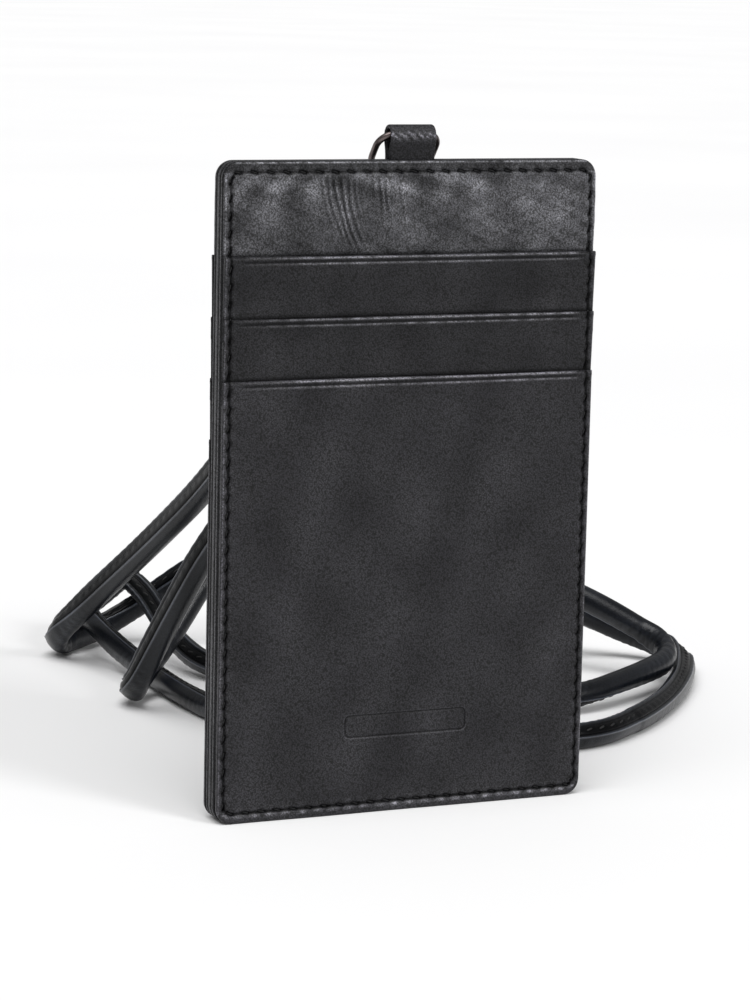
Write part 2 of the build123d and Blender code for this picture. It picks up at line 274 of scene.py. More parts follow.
def make_cord(leather, thread):
    points, along, marks = cord_centreline()
    count = len(points)
    tangents, sides = cord_frames(points)
    across = np.cross(tangents, sides)
    flap = flap_angles(tangents, sides, marks)
    bend = np.gradient(tangents, axis=0) / CORD_RING_STEP
    sharpness = smoothed(np.linalg.norm(bend, axis=1), 4)
    inward = bend / np.maximum(np.linalg.norm(bend, axis=1, keepdims=True), 1e-9)
    fold = smooth_step(sharpness, 40.0, 150.0)[:, None]
    crease = smooth_step(sharpness, 20.0, 90.0)[:, None]

    angles = section_angles()
    plain = cord_radius(angles)
    turned = flap[:, None] + angles[None, :]
    direction = (np.cos(turned)[:, :, None] * sides[:, None, :]
                 + np.sin(turned)[:, :, None] * across[:, None, :])
    inner_side = np.einsum("ijk,ik->ij", direction, inward)
    s = along[:, None]
    wobble = np.sin(s / (0.9 * MM) * 0.31 + 2.0 * np.sin(s / (7.1 * MM)))
    ripple = 0.5 + 0.5 * np.cos(s / (0.42 * MM) + 1.4 * wobble + 1.2 * np.sin(3.0 * turned))
    fullness = np.interp(along, marks[list(CORD_FULL_AT)], CORD_FULLNESS)
    radius = plain[None, :] * fullness[:, None]
    radius -= 0.34 * MM * crease * np.clip(inner_side + 0.15, 0.0, 1.0) * ripple
    slack = np.sin(s / (5.3 * MM) + 1.3 * np.sin(s / (11.7 * MM)) + 2.0 * turned)
    lying = 1.0 - smooth_step(points[:, 2], 9.0 * MM, 22.0 * MM)[:, None]
    off_band = smooth_step(np.abs(np.degrees(angles)), 42.0, 62.0)[None, :]
    shivers = np.sin(s / (0.36 * MM) + 3.1 * turned + 1.7 * np.sin(s / (2.9 * MM)))
    patches = smooth_step(np.sin(s / (6.1 * MM) + 1.1 * turned), -0.5, 0.7)
    radius += 0.06 * MM * slack * (0.4 + 0.6 * lying)
    radius += 0.06 * MM * shivers * patches * lying * off_band
    scallop = np.cos(2 * math.pi * s / CORD_STITCH_PITCH)
    near_lip = bell(np.abs(np.degrees(angles)) - 38.0, 8.0)[None, :]
    in_band = bell(np.degrees(angles), 15.0)[None, :]
    radius -= (0.07 * near_lip + 0.1 * in_band) * MM * (0.5 + 0.5 * scallop)
    for place in CORD_LAPS:
        past = s - place * along[-1]
        lap = smooth_step(past, 0.0, 0.5 * MM) * (1.0 - smooth_step(past, 0.5 * MM, 26.0 * MM))
        radius += 0.16 * MM * lap
    offset = direction * radius[:, :, None]
    depth = np.einsum("ijk,ik->ij", offset, inward)
    binormal = np.cross(tangents, inward)
    width = np.einsum("ijk,ik->ij", offset, binormal)
    offset = offset - inward[:, None, :] * (0.24 * fold * depth)[:, :, None]
    offset = offset + binormal[:, None, :] * (0.16 * fold * width)[:, :, None]
    surface = points[:, None, :] + offset
    surface[:, :, 2] = np.maximum(surface[:, :, 2], 0.02 * MM)

    faces = tube_faces(count, len(angles))
    off = np.abs(np.degrees(angles))[None, :]
    # Painted shade darkens the sunk sewn band and its stitch dents, a painted highlight lights the
    # folded lip, and the tone rises and falls with the slack and shivers of the relief as painted
    # shading.
    tone = 0.5 - 0.3 * (1.0 - smooth_step(off, 28.0, 37.0)) + 0.4 * bell(off - 41.0, 4.0)
    tone = tone - 0.12 * bell(off, 14.0) * (0.5 + 0.5 * scallop)
    tone = tone + 0.09 * lying * off_band * patches * shivers + 0.05 * slack
    cord = mesh_object("cord_leather", surface.reshape(-1, 3), faces, leather,
                       tone=tone.reshape(-1))

    sewn = np.arange(3 * CORD_STITCH_PITCH, along[-1] - 8.0 * MM, CORD_STITCH_PITCH)
    spots = []
    for place in sewn:
        at = int(round(place / along[-1] * (count - 1)))
        angle = flap[at]
        outward = math.cos(angle) * sides[at] + math.sin(angle) * across[at]
        centre = points[at] + outward * (CORD_BODY_R - 0.3 * MM)
        lean = tangents[at] + 0.25 * np.cross(outward, tangents[at])
        spots.append((centre, lean / np.linalg.norm(lean), outward))
    threads = stitch_row("cord_threads", spots, *CORD_THREAD, thread)
    return cord, threads, points


def stitch_row(name, spots, length, radius, material):
    """Short rounded threads. Each spot is a centre, a direction and an outward vector."""
    rings = 7
    around = 8
    pattern = tube_faces(rings, around)
    vertices = []
    faces = []
    for centre, direction, outward in spots:
        side = np.cross(direction, outward)
        first = len(vertices)
        for ring in range(rings):
            share = ring / (rings - 1) * 2.0 - 1.0
            swell = math.sqrt(max(1.0 - abs(share) ** 4, 0.04))
            sink = 0.9 * radius * share * share
            middle = centre + direction * (share * length / 2) - outward * sink
            for spot in range(around):
                angle = 2 * math.pi * spot / around
                reach = radius * swell
                vertices.append(middle + side * (math.cos(angle) * reach)
                                + outward * (math.sin(angle) * reach))
        faces += [tuple(first + corner for corner in face) for face in pattern]
    return mesh_object(name, vertices, faces, material)


# ---- pouch ----
FRONT = -1.0
REAR = 1.0
CORNER_R = 3.0 * MM
SEAM_SIDE = 1.2 * MM
SEAM_END = 1.9 * MM
SEAM_CORNER_R = 1.7 * MM
STITCH_PITCH = 3.12 * MM
STITCH_LEAN = 0.32            # sideways for each unit along the seam
STITCH_SUNK = 0.62 * MM       # the stitches' middles, below the plain surface
SEAM_THREAD = (2.0 * MM, 0.2 * MM)    # a stitch's length and its thread's radius
TUCK_T = 0.42 * MM
TUCK_LEN = 4.0 * MM
LEAST_T = 0.08 * MM           # of leather left under a stitch hole
PANEL_EDGE_R = 0.6 * MM
FACING_EDGE_R = 0.34 * MM
HEM_FOLD_R = 0.42 * MM
HEM_CREASE = 1.15 * MM        # from the hem's edge down to its creased line
GAPE = 0.34 * MM              # how far an empty pocket's mouth stands open
GAPE_DEPTH = 6.0 * MM
STRIP_BULGE = 0.22 * MM
EDGE_TONE = 0.5               # of the layers' cut edges
GROOVE_SHADE_TONE = 0.1             # painted shade of the grooves between them
# painted shade on the sides of the grooves
GROOVE_SIDE_SHADE_TONE = 0.3
FRONT_GROOVE_SHARE = 0.63     # where the groove lies, as a share of the face's distance
REAR_GROOVE_SHARE = 0.47
# Across a groove in the edge, in mm: offset from its middle, inset, tone.
GROOVE_MM = ((0.42, -0.03, EDGE_TONE), (0.26, 0.05, GROOVE_SIDE_SHADE_TONE), (0.1, 0.2, GROOVE_SHADE_TONE),
             (-0.1, 0.2, GROOVE_SHADE_TONE), (-0.26, 0.05, GROOVE_SIDE_SHADE_TONE),
             (-0.42, -0.03, EDGE_TONE))
# From the edge down to the board, in mm: offset from the board's face, inset, tone.
EDGE_FOOT_MM = ((0.42, -0.03, EDGE_TONE), (0.22, 0.05, GROOVE_SIDE_SHADE_TONE),
                (0.1, 0.16, GROOVE_SHADE_TONE), (0.0, 0.2, GROOVE_SHADE_TONE))
SEAM_START = 1.4 * MM         # from the seam's corner to its first stitch
LABEL_PLACE = (0.35 * MM, 16.2 * MM)
LABEL_HALF = (12.0 * MM, 2.0 * MM)
LABEL_R = 1.0 * MM
# Creases of the top strip: x at its top, x at its hem, bow, depth, how far down it runs.
STRIP_CREASES_MM = [
    (-18.6, -13.2, -0.9, 0.05, 0.8), (-17.1, -12.3, -1.0, 0.07, 0.95),
    (-15.8, -11.2, -1.0, 0.09, 1.0), (-14.4, -10.1, -1.1, 0.1, 1.0),
    (-13.1, -9.0, -1.0, 0.07, 1.0), (-11.9, -8.2, -0.8, 0.04, 0.6),
    (-8.4, -5.4, -0.4, 0.05, 0.45), (-7.2, -4.2, -0.5, 0.09, 0.55),
    (-6.1, -2.9, -0.5, 0.06, 0.65), (-3.2, -0.9, -0.2, 0.04, 0.7),
]

half_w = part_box("front_body")[1].x
body_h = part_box("front_body")[1].z
face_out = -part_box("front_body")[0].y
split_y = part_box("front_body")[1].y
hem_out = -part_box("front_pocket_lower")[0].y
front_pockets = ["front_pocket_upper", "front_pocket_middle", "front_pocket_lower"]
rear_pockets = ["rear_pocket_first", "rear_pocket_second", "rear_pocket_third",
                "rear_pocket_fourth"]
hem_heights = [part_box(name)[1].z for name in rear_pockets]
pitch = hem_heights[0] - hem_heights[1]


def grid_lines(low, high, step, fine_step, fine_zones):
    """Positions from low to high, closer together inside the fine zones."""
    marks = {low, high}
    marks.update(np.arange(low, high, step))
    for start, end in fine_zones:
        start = max(start, low)
        end = min(end, high)
        kept = {mark for mark in marks if mark < start or mark > end}
        kept.update(np.arange(start, end, fine_step))
        kept.add(end)
        marks = kept
    marks.update((low, high))
    ordered = np.array(sorted(marks))
    gaps = np.diff(ordered, prepend=low - step)
    thinned = ordered[gaps > 0.3 * min(step, fine_step)]
    thinned[-1] = high
    return thinned


def edge_distance(x, z, width, low, high, radius):
    """Signed distance to a rounded rectangle's outline, negative inside."""
    beyond_x = np.abs(x) - (width - radius)
    beyond_z = np.abs(z - (low + high) / 2) - ((high - low) / 2 - radius)
    outside = np.hypot(np.maximum(beyond_x, 0.0), np.maximum(beyond_z, 0.0))
    return outside + np.minimum(np.maximum(beyond_x, beyond_z), 0.0) - radius


def rounding(inside, radius):
    """How far a quarter-round edge has fallen away, at a distance inside the edge."""
    short = np.clip(radius - inside, 0.0, radius)
    return radius - np.sqrt(np.maximum(radius ** 2 - short ** 2, 0.0))


def undulation(x, z, seed, length, count=9):
    """Gentle waves with no repeat, between about -1 and 1."""
    chance = np.random.default_rng(seed)
    total = np.zeros(np.broadcast(x, z).shape)
    for turn, phase, stretch in zip(chance.uniform(0, math.pi, count),
                                    chance.uniform(0, 2 * math.pi, count),
                                    chance.uniform(0.7, 1.6, count)):
        wave = 2 * math.pi / (length * stretch)
        total += np.sin((x * math.cos(turn) + z * math.sin(turn)) * wave + phase)
    return total / math.sqrt(count)


def seam_marks():
    """Stitch spacing along the uprights and along the top and bottom of the seam."""
    upright_run = body_h - 2 * SEAM_END - 2 * SEAM_START
    level_run = 2 * (half_w - SEAM_SIDE) - 2 * SEAM_START
    upright_count = round(upright_run / STITCH_PITCH) + 1
    level_count = round(level_run / STITCH_PITCH) + 1
    return upright_run, upright_count, level_run, level_count


def seam_parts(x, z):
    """Relief and tone round the seam: a line pulled in, slanted holes, puffs between; the tone
    paints shade into the line and holes and painted highlights on the puffs, the bottom border and
    the top shoulder.
    """
    across = edge_distance(x, z, half_w - SEAM_SIDE, SEAM_END, body_h - SEAM_END, SEAM_CORNER_R)
    upright_run, upright_count, level_run, level_count = seam_marks()
    upright_gap = upright_run / (upright_count - 1)
    level_gap = level_run / (level_count - 1)
    near_side = half_w - SEAM_SIDE - np.abs(x)
    near_end = np.minimum(np.abs(z - SEAM_END), np.abs(body_h - SEAM_END - z))
    is_upright = np.abs(near_side) < near_end
    first_z = SEAM_END + SEAM_START
    along_z = (z - first_z + upright_gap / 2) % upright_gap - upright_gap / 2
    along_x = (x + level_run / 2 + level_gap / 2) % level_gap - level_gap / 2
    on_z = (z > first_z - upright_gap / 2) & (z < body_h - first_z + upright_gap / 2)
    on_x = np.abs(x) < level_run / 2 + level_gap / 2
    along = np.where(is_upright, along_z, along_x)
    on_row = np.where(is_upright, on_z, on_x).astype(float)
    gap = np.where(is_upright, upright_gap, level_gap)
    lean = np.where(is_upright, np.sign(x), np.where(z > body_h / 2, -1.0, 1.0))
    slanted = across - lean * STITCH_LEAN * along
    between = 0.5 - 0.5 * np.cos(2 * math.pi * along / gap)
    hole = bell(slanted, 0.25 * MM) * np.exp(-((along / (0.8 * MM)) ** 4)) * on_row
    line = bell(across, 0.17 * MM)
    puff = bell(across - 0.6 * MM, 0.34 * MM) + 0.8 * bell(across + 0.66 * MM, 0.42 * MM)
    pulled = bell(across, 0.95 * MM)
    relief = 0.17 * puff * (0.15 + 0.85 * between) - 0.16 * line - 0.62 * hole - 0.07 * pulled
    border = smooth_step(across, 0.22 * MM, 0.4 * MM)
    near_foot = border * (z < SEAM_END) * (1.0 - smooth_step(across, 0.75 * MM, 1.15 * MM))
    near_top = border * (z > body_h - SEAM_END)
    rim = half_w - np.abs(x)
    shoulder = np.maximum(bell(body_h - z - 0.24 * MM, 0.15 * MM) * (rim > 2.0 * MM),
                          0.6 * bell(rim - 0.24 * MM, 0.15 * MM) * (body_h - z > 2.0 * MM))
    # Mottle of the painted highlights.
    highlight_mottle = 0.85 + 0.25 * undulation(x, z, 41, 1.6 * MM)
    # Painted shade darkens the seam line and its holes; painted highlights light the puffs, the
    # bottom border's scallops and the top shoulder; the top border is darker.
    tone = 0.1 * puff * (between - 0.35) - 0.26 * bell(across, 0.2 * MM) - 0.42 * hole
    tone = tone + 0.33 * near_foot * (0.35 + 0.65 * between) * highlight_mottle + 0.44 * shoulder * highlight_mottle
    tone = tone - 0.19 * near_top + 0.04 * border
    return relief * MM, tone


def strip_parts(x, z):
    """Relief and tone of the top strip: a bulge, mottled waves and a fan of creases; the tone adds
    painted highlights, a painted sheen and painted shade in the creases.
    """
    hem = hem_heights[0]
    top = body_h - SEAM_END
    share = np.clip((top - z) / (top - hem), 0.0, 1.3)
    bulge = STRIP_BULGE * np.sin(math.pi * np.clip(share, 0.0, 1.0))
    waves = 0.07 * MM * undulation(x, z, 5, 9 * MM) + 0.03 * MM * undulation(x, z, 6, 3 * MM)
    total = bulge + waves * smooth_step(top - z, 0.0, 3 * MM)
    tone = 0.065 * undulation(x, z, 5, 9 * MM) + 0.03 * undulation(x, z, 6, 2.2 * MM)
    # Grain streaks, and a painted sheen lighter towards the right.
    tone = tone + 0.03 * undulation(2.2 * x + z, z - x, 7, 1.3 * MM) + 0.04 * x / half_w
    # Painted highlight patches under the top edge.
    tone = tone + 0.13 * bell(top - z - 2.4 * MM, 2.4 * MM) * (0.5 + undulation(x, z, 8, 6 * MM))
    for number, (x_top, x_hem, bow, depth, reach) in enumerate(STRIP_CREASES_MM):
        path = x_top + (x_hem - x_top) * share + bow * np.sin(math.pi * share)
        path = path + 0.12 * np.sin(share * 9.0 + number * 1.7)
        fade = (smooth_step(share, 0.02, 0.16)
                * (1.0 - smooth_step(share, reach - 0.25, reach + 0.05)))
        offset = x / MM - path
        total = total - 1.9 * depth * MM * fade * bell(offset, 0.24)
        total = total + 1.1 * depth * MM * fade * bell(offset - 0.5, 0.3)
        # Painted shade in the crease and a painted highlight on its ridge.
        tone = tone - 3.0 * depth * fade * bell(offset, 0.2)
        tone = tone + 2.6 * depth * fade * bell(offset - 0.42, 0.2)
    return total, tone


def label_parts(x, z):
    """Relief and tone of a plain blank label pressed into the lower pocket; the tone paints shade
    into the pressed outline and a painted highlight just outside it.
    """
    rim = edge_distance(x - LABEL_PLACE[0], z, LABEL_HALF[0], LABEL_PLACE[1] - LABEL_HALF[1],
                        LABEL_PLACE[1] + LABEL_HALF[1], LABEL_R)
    inside = 1.0 - smooth_step(rim, -0.12 * MM, 0.12 * MM)
    relief = -(0.2 * bell(rim, 0.18 * MM) + 0.07 * inside) * MM
    return relief, 0.16 * bell(rim - 0.2 * MM, 0.12 * MM) - 0.16 * bell(rim, 0.15 * MM)


def panel_out(side):
    """Outer surface of a body panel and its tone, as a function of x and z."""
    def out(x, z):
        inside = -edge_distance(x, z, half_w, 0.0, body_h, CORNER_R)
        relief, tone = strip_parts(x if side == FRONT else 8 * MM - x, z)
        seam, seam_tone = seam_parts(x, z)
        hem = hem_heights[0]
        above = smooth_step(z, hem - 2 * MM, hem)
        shadow = 0.28 * bell(np.maximum(z - hem, 0.0), 0.45 * MM)
        visible = (relief * (1.0 if side == FRONT else 0.6) + seam) * above
        height = face_out + visible - rounding(inside, PANEL_EDGE_R)
        return height, 0.5 + tone + seam_tone - shadow
    return out


def facing_shape(name, hem, number, last, label):
    """Outer surface with its tone, and back surface, of one pocket facing."""
    seed = sum(map(ord, name))

    def mouth(x, below):
        reach = np.clip(1.0 - (x / (half_w - 3.2 * MM)) ** 2, 0.0, 1.0)
        return GAPE * reach * np.exp(-((below / GAPE_DEPTH) ** 2))

    def out(x, z):
        below = hem - z
        thin = 0.0 if last else (hem_out - face_out - TUCK_T) * np.clip(below / pitch, 0.0, 1.0)
        inside = -edge_distance(x, z, half_w, 0.0, body_h, CORNER_R)
        inner = smooth_step(half_w - np.abs(x), 2.0 * MM, 5.0 * MM)
        crease = -0.2 * bell(below - HEM_CREASE, 0.17 * MM) * inner
        roll = 0.1 * bell(below - 0.5 * HEM_CREASE, 0.36 * MM)
        under = 0.1 * bell(below - HEM_CREASE - 0.45 * MM, 0.34 * MM) * inner
        waves = 0.05 * undulation(x, z, seed, 17 * MM) + 0.012 * undulation(x, z, seed + 1, 5 * MM)
        tuck = smooth_step(pitch - below, -0.4 * MM, 0.6 * MM) if not last else 1.0
        total = hem_out - thin + (crease + roll + under + waves * inner) * MM * tuck
        seam, seam_tone = seam_parts(x, z)
        total = total + mouth(x, below) + seam * tuck
        # Painted highlights along the hem's fold and its crease, fainter at the left; painted
        # shade between them, and a painted shadow just above the mouth of the next pocket down.
        hem_highlight = 0.8 + 0.2 * undulation(x, z, seed + 2, 4 * MM)
        hem_highlight = hem_highlight * (0.25 + 0.75 * smooth_step(x, -31 * MM, -20 * MM)) * inner
        tone = 0.5 + seam_tone + 0.03 * undulation(x, z, seed + 3, 12 * MM)
        tone = tone + 0.6 * hem_highlight * bell(below - 0.22 * MM, 0.2 * MM)
        tone = tone + 0.48 * hem_highlight * bell(below - HEM_CREASE - 0.1 * MM, 0.18 * MM)
        tone = tone - 0.16 * inner * bell(below - 0.7 * HEM_CREASE, 0.22 * MM)
        if not last:
            tone = tone - 0.28 * bell(np.maximum(pitch - below, 0.0), 0.45 * MM)
        if label:
            pressed, label_tone = label_parts(x, z)
            total = total + pressed
            tone = tone + label_tone
        fallen = np.maximum(rounding(inside, FACING_EDGE_R), rounding(below, HEM_FOLD_R))
        return np.maximum(total - fallen, back(x, z) + LEAST_T), tone

    def back(x, z):
        below = hem - z
        step = 0.0 if number == 0 else TUCK_T * (below < TUCK_LEN)
        return face_out + step + mouth(x, below)

    return out, back


def slab(name, side, xs, zs, low, high, out, back, wall, material, deep=None):
    """A closed leather layer: its outer face on a grid, a shaped wall and a back.

    low and high are the outline's height at each x. wall lists (share of the way from
    back to face, offset out, inset, tone). deep is how far below the top the back is on the
    grid too, so that it can follow an open pocket mouth.
    """
    share = (zs - zs[0]) / (zs[-1] - zs[0])
    grid_z = low[:, None] + (high - low)[:, None] * share[None, :]
    grid_x = np.repeat(xs[:, None], len(zs), axis=1)
    grid_out, grid_tone = out(grid_x, grid_z)
    rows, columns = grid_x.shape
    number = np.arange(rows * columns).reshape(rows, columns)
    points = [np.stack([grid_x, side * grid_out, grid_z], axis=-1).reshape(-1, 3)]
    tones = [grid_tone.reshape(-1)]
    faces = [tuple(quad) for quad in np.stack(
        [number[:-1, :-1], number[1:, :-1], number[1:, 1:], number[:-1, 1:]],
        axis=-1).reshape(-1, 4)]
    border = np.concatenate([number[:, 0], number[-1, 1:], number[-2::-1, -1],
                             number[0, -2:0:-1]])
    flat_x = grid_x.reshape(-1)[border]
    flat_z = grid_z.reshape(-1)[border]
    flat_out = grid_out.reshape(-1)[border]
    flat_back = back(flat_x, flat_z)
    middle = (low.min() + high.max()) / 2
    radius = CORNER_R if deep is None or low.min() < CORNER_R else 0.2 * MM
    core_x = np.clip(flat_x, -half_w + radius, half_w - radius)
    core_z = np.clip(flat_z, low.min() + radius, high.max() - radius)
    inward = -np.stack([flat_x - core_x, flat_z - core_z], axis=-1)
    inward = unit(np.where(np.abs(inward).sum(-1, keepdims=True) < 1e-9,
                           np.stack([-flat_x, middle - flat_z], axis=-1), inward))
    previous = border
    total = rows * columns
    for mix, offset, inset, wall_tone in wall:
        ring_out = flat_back + (flat_out - flat_back) * mix + offset
        ring = np.stack([flat_x + inward[:, 0] * inset, side * ring_out,
                         flat_z + inward[:, 1] * inset], axis=-1)
        points.append(ring)
        tones.append(np.full(len(border), wall_tone))
        current = np.arange(total, total + len(border))
        total += len(border)
        faces += [tuple(quad) for quad in np.stack(
            [previous, np.roll(previous, -1), np.roll(current, -1), current], axis=-1)]
        previous = current
    if deep is None:
        faces.append(tuple(previous))
    else:
        start = int(np.searchsorted(zs, zs[-1] - deep))
        lookup = dict(zip(border.tolist(), previous.tolist()))
        inner = number[1:-1, start:-1]
        inner_x = grid_x[1:-1, start:-1]
        inner_z = grid_z[1:-1, start:-1]
        points.append(np.stack([inner_x, side * back(inner_x, inner_z), inner_z],
                               axis=-1).reshape(-1, 3))
        tones.append(np.full(inner.size, 0.5))
        lookup.update(zip(inner.reshape(-1).tolist(), range(total, total + inner.size)))
        behind = np.vectorize(lookup.get, otypes=[int])(number[:, start:])
        faces += [tuple(quad) for quad in np.stack(
            [behind[:-1, :-1], behind[1:, :-1], behind[1:, 1:], behind[:-1, 1:]],
            axis=-1).reshape(-1, 4)]
        lower = [lookup[index] for index in number[0, start - 1::-1].tolist()]
        lower += [lookup[index] for index in number[1:, 0].tolist()]
        lower += [lookup[index] for index in number[-1, 1:start].tolist()]
        faces.append(tuple(lower + behind[::-1, 0].tolist()))
    return mesh_object(name, np.concatenate(points), faces, material,
                       tone=np.concatenate(tones))


def outline_heights(xs, low, high, low_radius, high_radius):
    """Lowest and highest point of the outline at each x, its corners rounded."""
    def drop(radius):
        past = np.clip(np.abs(xs) - (half_w - radius), 0.0, radius)
        return radius - np.sqrt(radius ** 2 - past ** 2)
    return low + drop(low_radius), high - drop(high_radius)


def across_lines(step, fine_zones=()):
    """Grid positions across the pouch: fine at the seams and round the corners."""
    seam_zone = 2.3 * MM
    right = half_w - CORNER_R * (1.0 - np.sin(np.linspace(0.0, math.pi / 2, 22)))
    flat = grid_lines(0.0, half_w - CORNER_R, step, step, [])
    extra = grid_lines(half_w - seam_zone, half_w - 0.25 * MM, 0.12 * MM, 0.12 * MM, [])
    extra = [extra] + [np.arange(start, end, 0.1 * MM) for start, end in fine_zones]
    positive = np.unique(np.round(np.concatenate([flat, right, *extra]), 7))
    keep = np.concatenate([[True], np.diff(positive) > 0.025 * MM])
    keep[-1] = True
    positive = positive[keep]
    positive[-1] = half_w
    return np.concatenate([-positive[:0:-1], positive])


def make_panel(name, side, node, material):
    xs = across_lines(0.27 * MM)
    strip = hem_heights[0] - 1.0 * MM
    zs = np.concatenate([np.linspace(0.0, strip, 24, endpoint=False),
                         grid_lines(strip, body_h, 0.26 * MM, 0.12 * MM,
                                    [(body_h - 3.2 * MM, body_h)])])
    low, high = outline_heights(xs, 0.0, body_h, CORNER_R, CORNER_R)
    inner = side * split_y
    groove = (FRONT_GROOVE_SHARE if side == FRONT else REAR_GROOVE_SHARE) * face_out - inner

    def seat(x, z):
        return np.full(np.shape(x), inner)

    wall = [(0.0, groove + offset * MM, inset * MM, tone) for offset, inset, tone in GROOVE_MM]
    wall += [(0.0, offset * MM, inset * MM, tone) for offset, inset, tone in EDGE_FOOT_MM]
    piece = slab(name, side, xs, zs, low, high, panel_out(side), seat, wall, material)
    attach(piece, "pouch")
    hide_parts(node)


def make_facing(name, side, node, number, last, material):
    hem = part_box(node)[1].z
    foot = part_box(node)[0].z
    label = last and side == FRONT
    label_ends = [(LABEL_HALF[0] - 0.9 * MM, LABEL_HALF[0] + 0.9 * MM)] if label else []
    xs = across_lines(0.42 * MM, label_ends)
    zones = [(hem - 2.6 * MM, hem)]
    if last:
        zones.append((foot, foot + 3.2 * MM))
    if label:
        zones.append((LABEL_PLACE[1] - LABEL_HALF[1] - 0.6 * MM,
                      LABEL_PLACE[1] + LABEL_HALF[1] + 0.6 * MM))
    zs = grid_lines(foot, hem, 0.36 * MM, 0.13 * MM, zones)
    low, high = outline_heights(xs, foot, hem, CORNER_R if last else 0.01 * MM, 0.01 * MM)
    high = high + 0.05 * MM * np.sin(xs / (9.0 * MM) + number * 2.0 + side)
    out, back = facing_shape(name, hem, number, last, label)
    # The cut edge of the facing is lighter, and painted shade darkens the foot of the wall where
    # it meets the leather beneath.
    wall = [(0.62, 0.0, -0.02 * MM, 0.74), (0.3, 0.0, -0.01 * MM, 0.74),
            (0.1, 0.0, 0.05 * MM, 0.4), (0.0, 0.0, 0.1 * MM, 0.2)]
    piece = slab(name, side, xs, zs, low, high, out, back, wall, material, GAPE_DEPTH + 2 * MM)
    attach(piece, "pouch")
    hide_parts(node)


def surface_out(z, pockets):
    """Plain outer surface of the pouch at a height, without relief."""
    if z > hem_heights[0]:
        return face_out
    if z < hem_heights[pockets - 1]:
        return hem_out
    below = (hem_heights[0] - z) % pitch
    return hem_out - (hem_out - face_out - TUCK_T) * below / pitch


def make_seam(name, side, node, pockets, material):
    upright_run, upright_count, level_run, level_count = seam_marks()
    column = half_w - SEAM_SIDE
    outward = np.array((0.0, side, 0.0))
    upright = unit(np.array((STITCH_LEAN, 0.0, 1.0)))
    level = unit(np.array((1.0, 0.0, -STITCH_LEAN)))
    spots = []
    for index in range(upright_count):
        z = SEAM_END + SEAM_START + index * upright_run / (upright_count - 1)
        out = surface_out(z, pockets) - STITCH_SUNK
        for x in (-column, column):
            spots.append((np.array((x, side * out, z)), upright, outward))
    for index in range(level_count):
        x = -level_run / 2 + index * level_run / (level_count - 1)
        for z in (SEAM_END, body_h - SEAM_END):
            out = surface_out(z, pockets) - STITCH_SUNK
            spots.append((np.array((x, side * out, z)), level, outward))
    piece = stitch_row(name, spots, *SEAM_THREAD, material)
    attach(piece, "pouch")
    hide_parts(node)


# ---- folded straps: the hanger loop and the cord tab ----
def strap(name, path, normals, widths, thickness, axis, material, wear_and_painted_light=None):
    """A leather strap with rounded edges, swept along a path and level across it.

    The last argument gives the tone of places, painted highlight and shade among it, as a function
    of their coordinates.
    """
    across = np.array(axis, float)
    corner = np.radians(np.linspace(90.0, -90.0, 9))
    inner = np.linspace(-1.0, 1.0, 17)[1:-1]
    vertices = []
    for place, normal, width, depth in zip(path, normals, widths, thickness):
        flat = width / 2 - depth / 2
        section = [(flat + depth / 2 * math.cos(turn), depth / 2 * math.sin(turn))
                   for turn in corner]
        section += [(-flat * share, -depth / 2) for share in inner]
        section += [(-x, -y) for x, y in section[:len(corner)]]
        section += [(flat * share, depth / 2) for share in inner]
        vertices += [place + across * x + normal * y for x, y in section]
    tone = None if wear_and_painted_light is None else wear_and_painted_light(np.array(vertices))
    return mesh_object(name, vertices, tube_faces(len(path), len(section)), material, tone=tone)


def make_hanger(material):
    loop_low, loop_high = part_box("hanger_loop")
    width = loop_high.x - loop_low.x
    leather = 0.68 * MM
    head_r = loop_high.y - leather / 2
    head_z = loop_high.z - head_r - leather / 2
    waist = 0.78 * MM
    corners = [(-waist, loop_low.z), (-waist, head_z - 5.0 * MM), (-waist, head_z - 3.4 * MM)]
    outline = [(y, z, 0.9 * MM) for y, z in corners]
    outline += [(-1.0 * MM, head_z - 2.3 * MM, 0.8 * MM), (-head_r, head_z - 1.1 * MM, leather)]
    for angle in np.radians(np.arange(0.0, 181.0, 12.0)):
        outline.append((-head_r * math.cos(angle), head_z + head_r * math.sin(angle), leather))
    outline += [(head_r, head_z - 1.1 * MM, leather), (1.0 * MM, head_z - 2.3 * MM, 0.8 * MM)]
    outline += [(-y, z, 0.9 * MM) for y, z in reversed(corners)]
    outline = np.array(outline)
    steps = np.concatenate([[0.0], np.cumsum(np.hypot(*np.diff(outline[:, :2], axis=0).T))])
    even = np.linspace(0.0, steps[-1], 150)
    values = [np.interp(even, steps, outline[:, column]) for column in range(3)]
    y, z, thickness = [smoothed(value, 4) for value in values]
    path = np.column_stack([np.zeros_like(y), y, z])
    tangents = unit(np.gradient(path, axis=0))
    normals = np.cross(tangents, (1.0, 0.0, 0.0))
    widths = width * (1.0 + 0.006 * np.sin(even / (1.7 * MM)))

    # Painted highlight in a mottled band across the front at the head and over the rolled top,
    # painted shade on the front below it.
    def wear_and_painted_light(places):
        x, depth, height = places.T
        front = depth < 0.0
        highlight_mottle = 0.7 + 0.5 * undulation(x, height, 51, 0.9 * MM)
        band = bell(height - head_z + 0.1 * MM, 0.85 * MM) * front
        rolled = smooth_step(height, head_z + 0.7 * MM, head_z + 1.2 * MM)
        return 0.5 + 0.45 * band * highlight_mottle + 0.06 * rolled - 0.05 * front * (1.0 - rolled)

    piece = strap("hanger_strap", path, normals, widths, thickness, (1.0, 0.0, 0.0), material,
                  wear_and_painted_light)
    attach(piece, "pouch")
    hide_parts("hanger_loop")


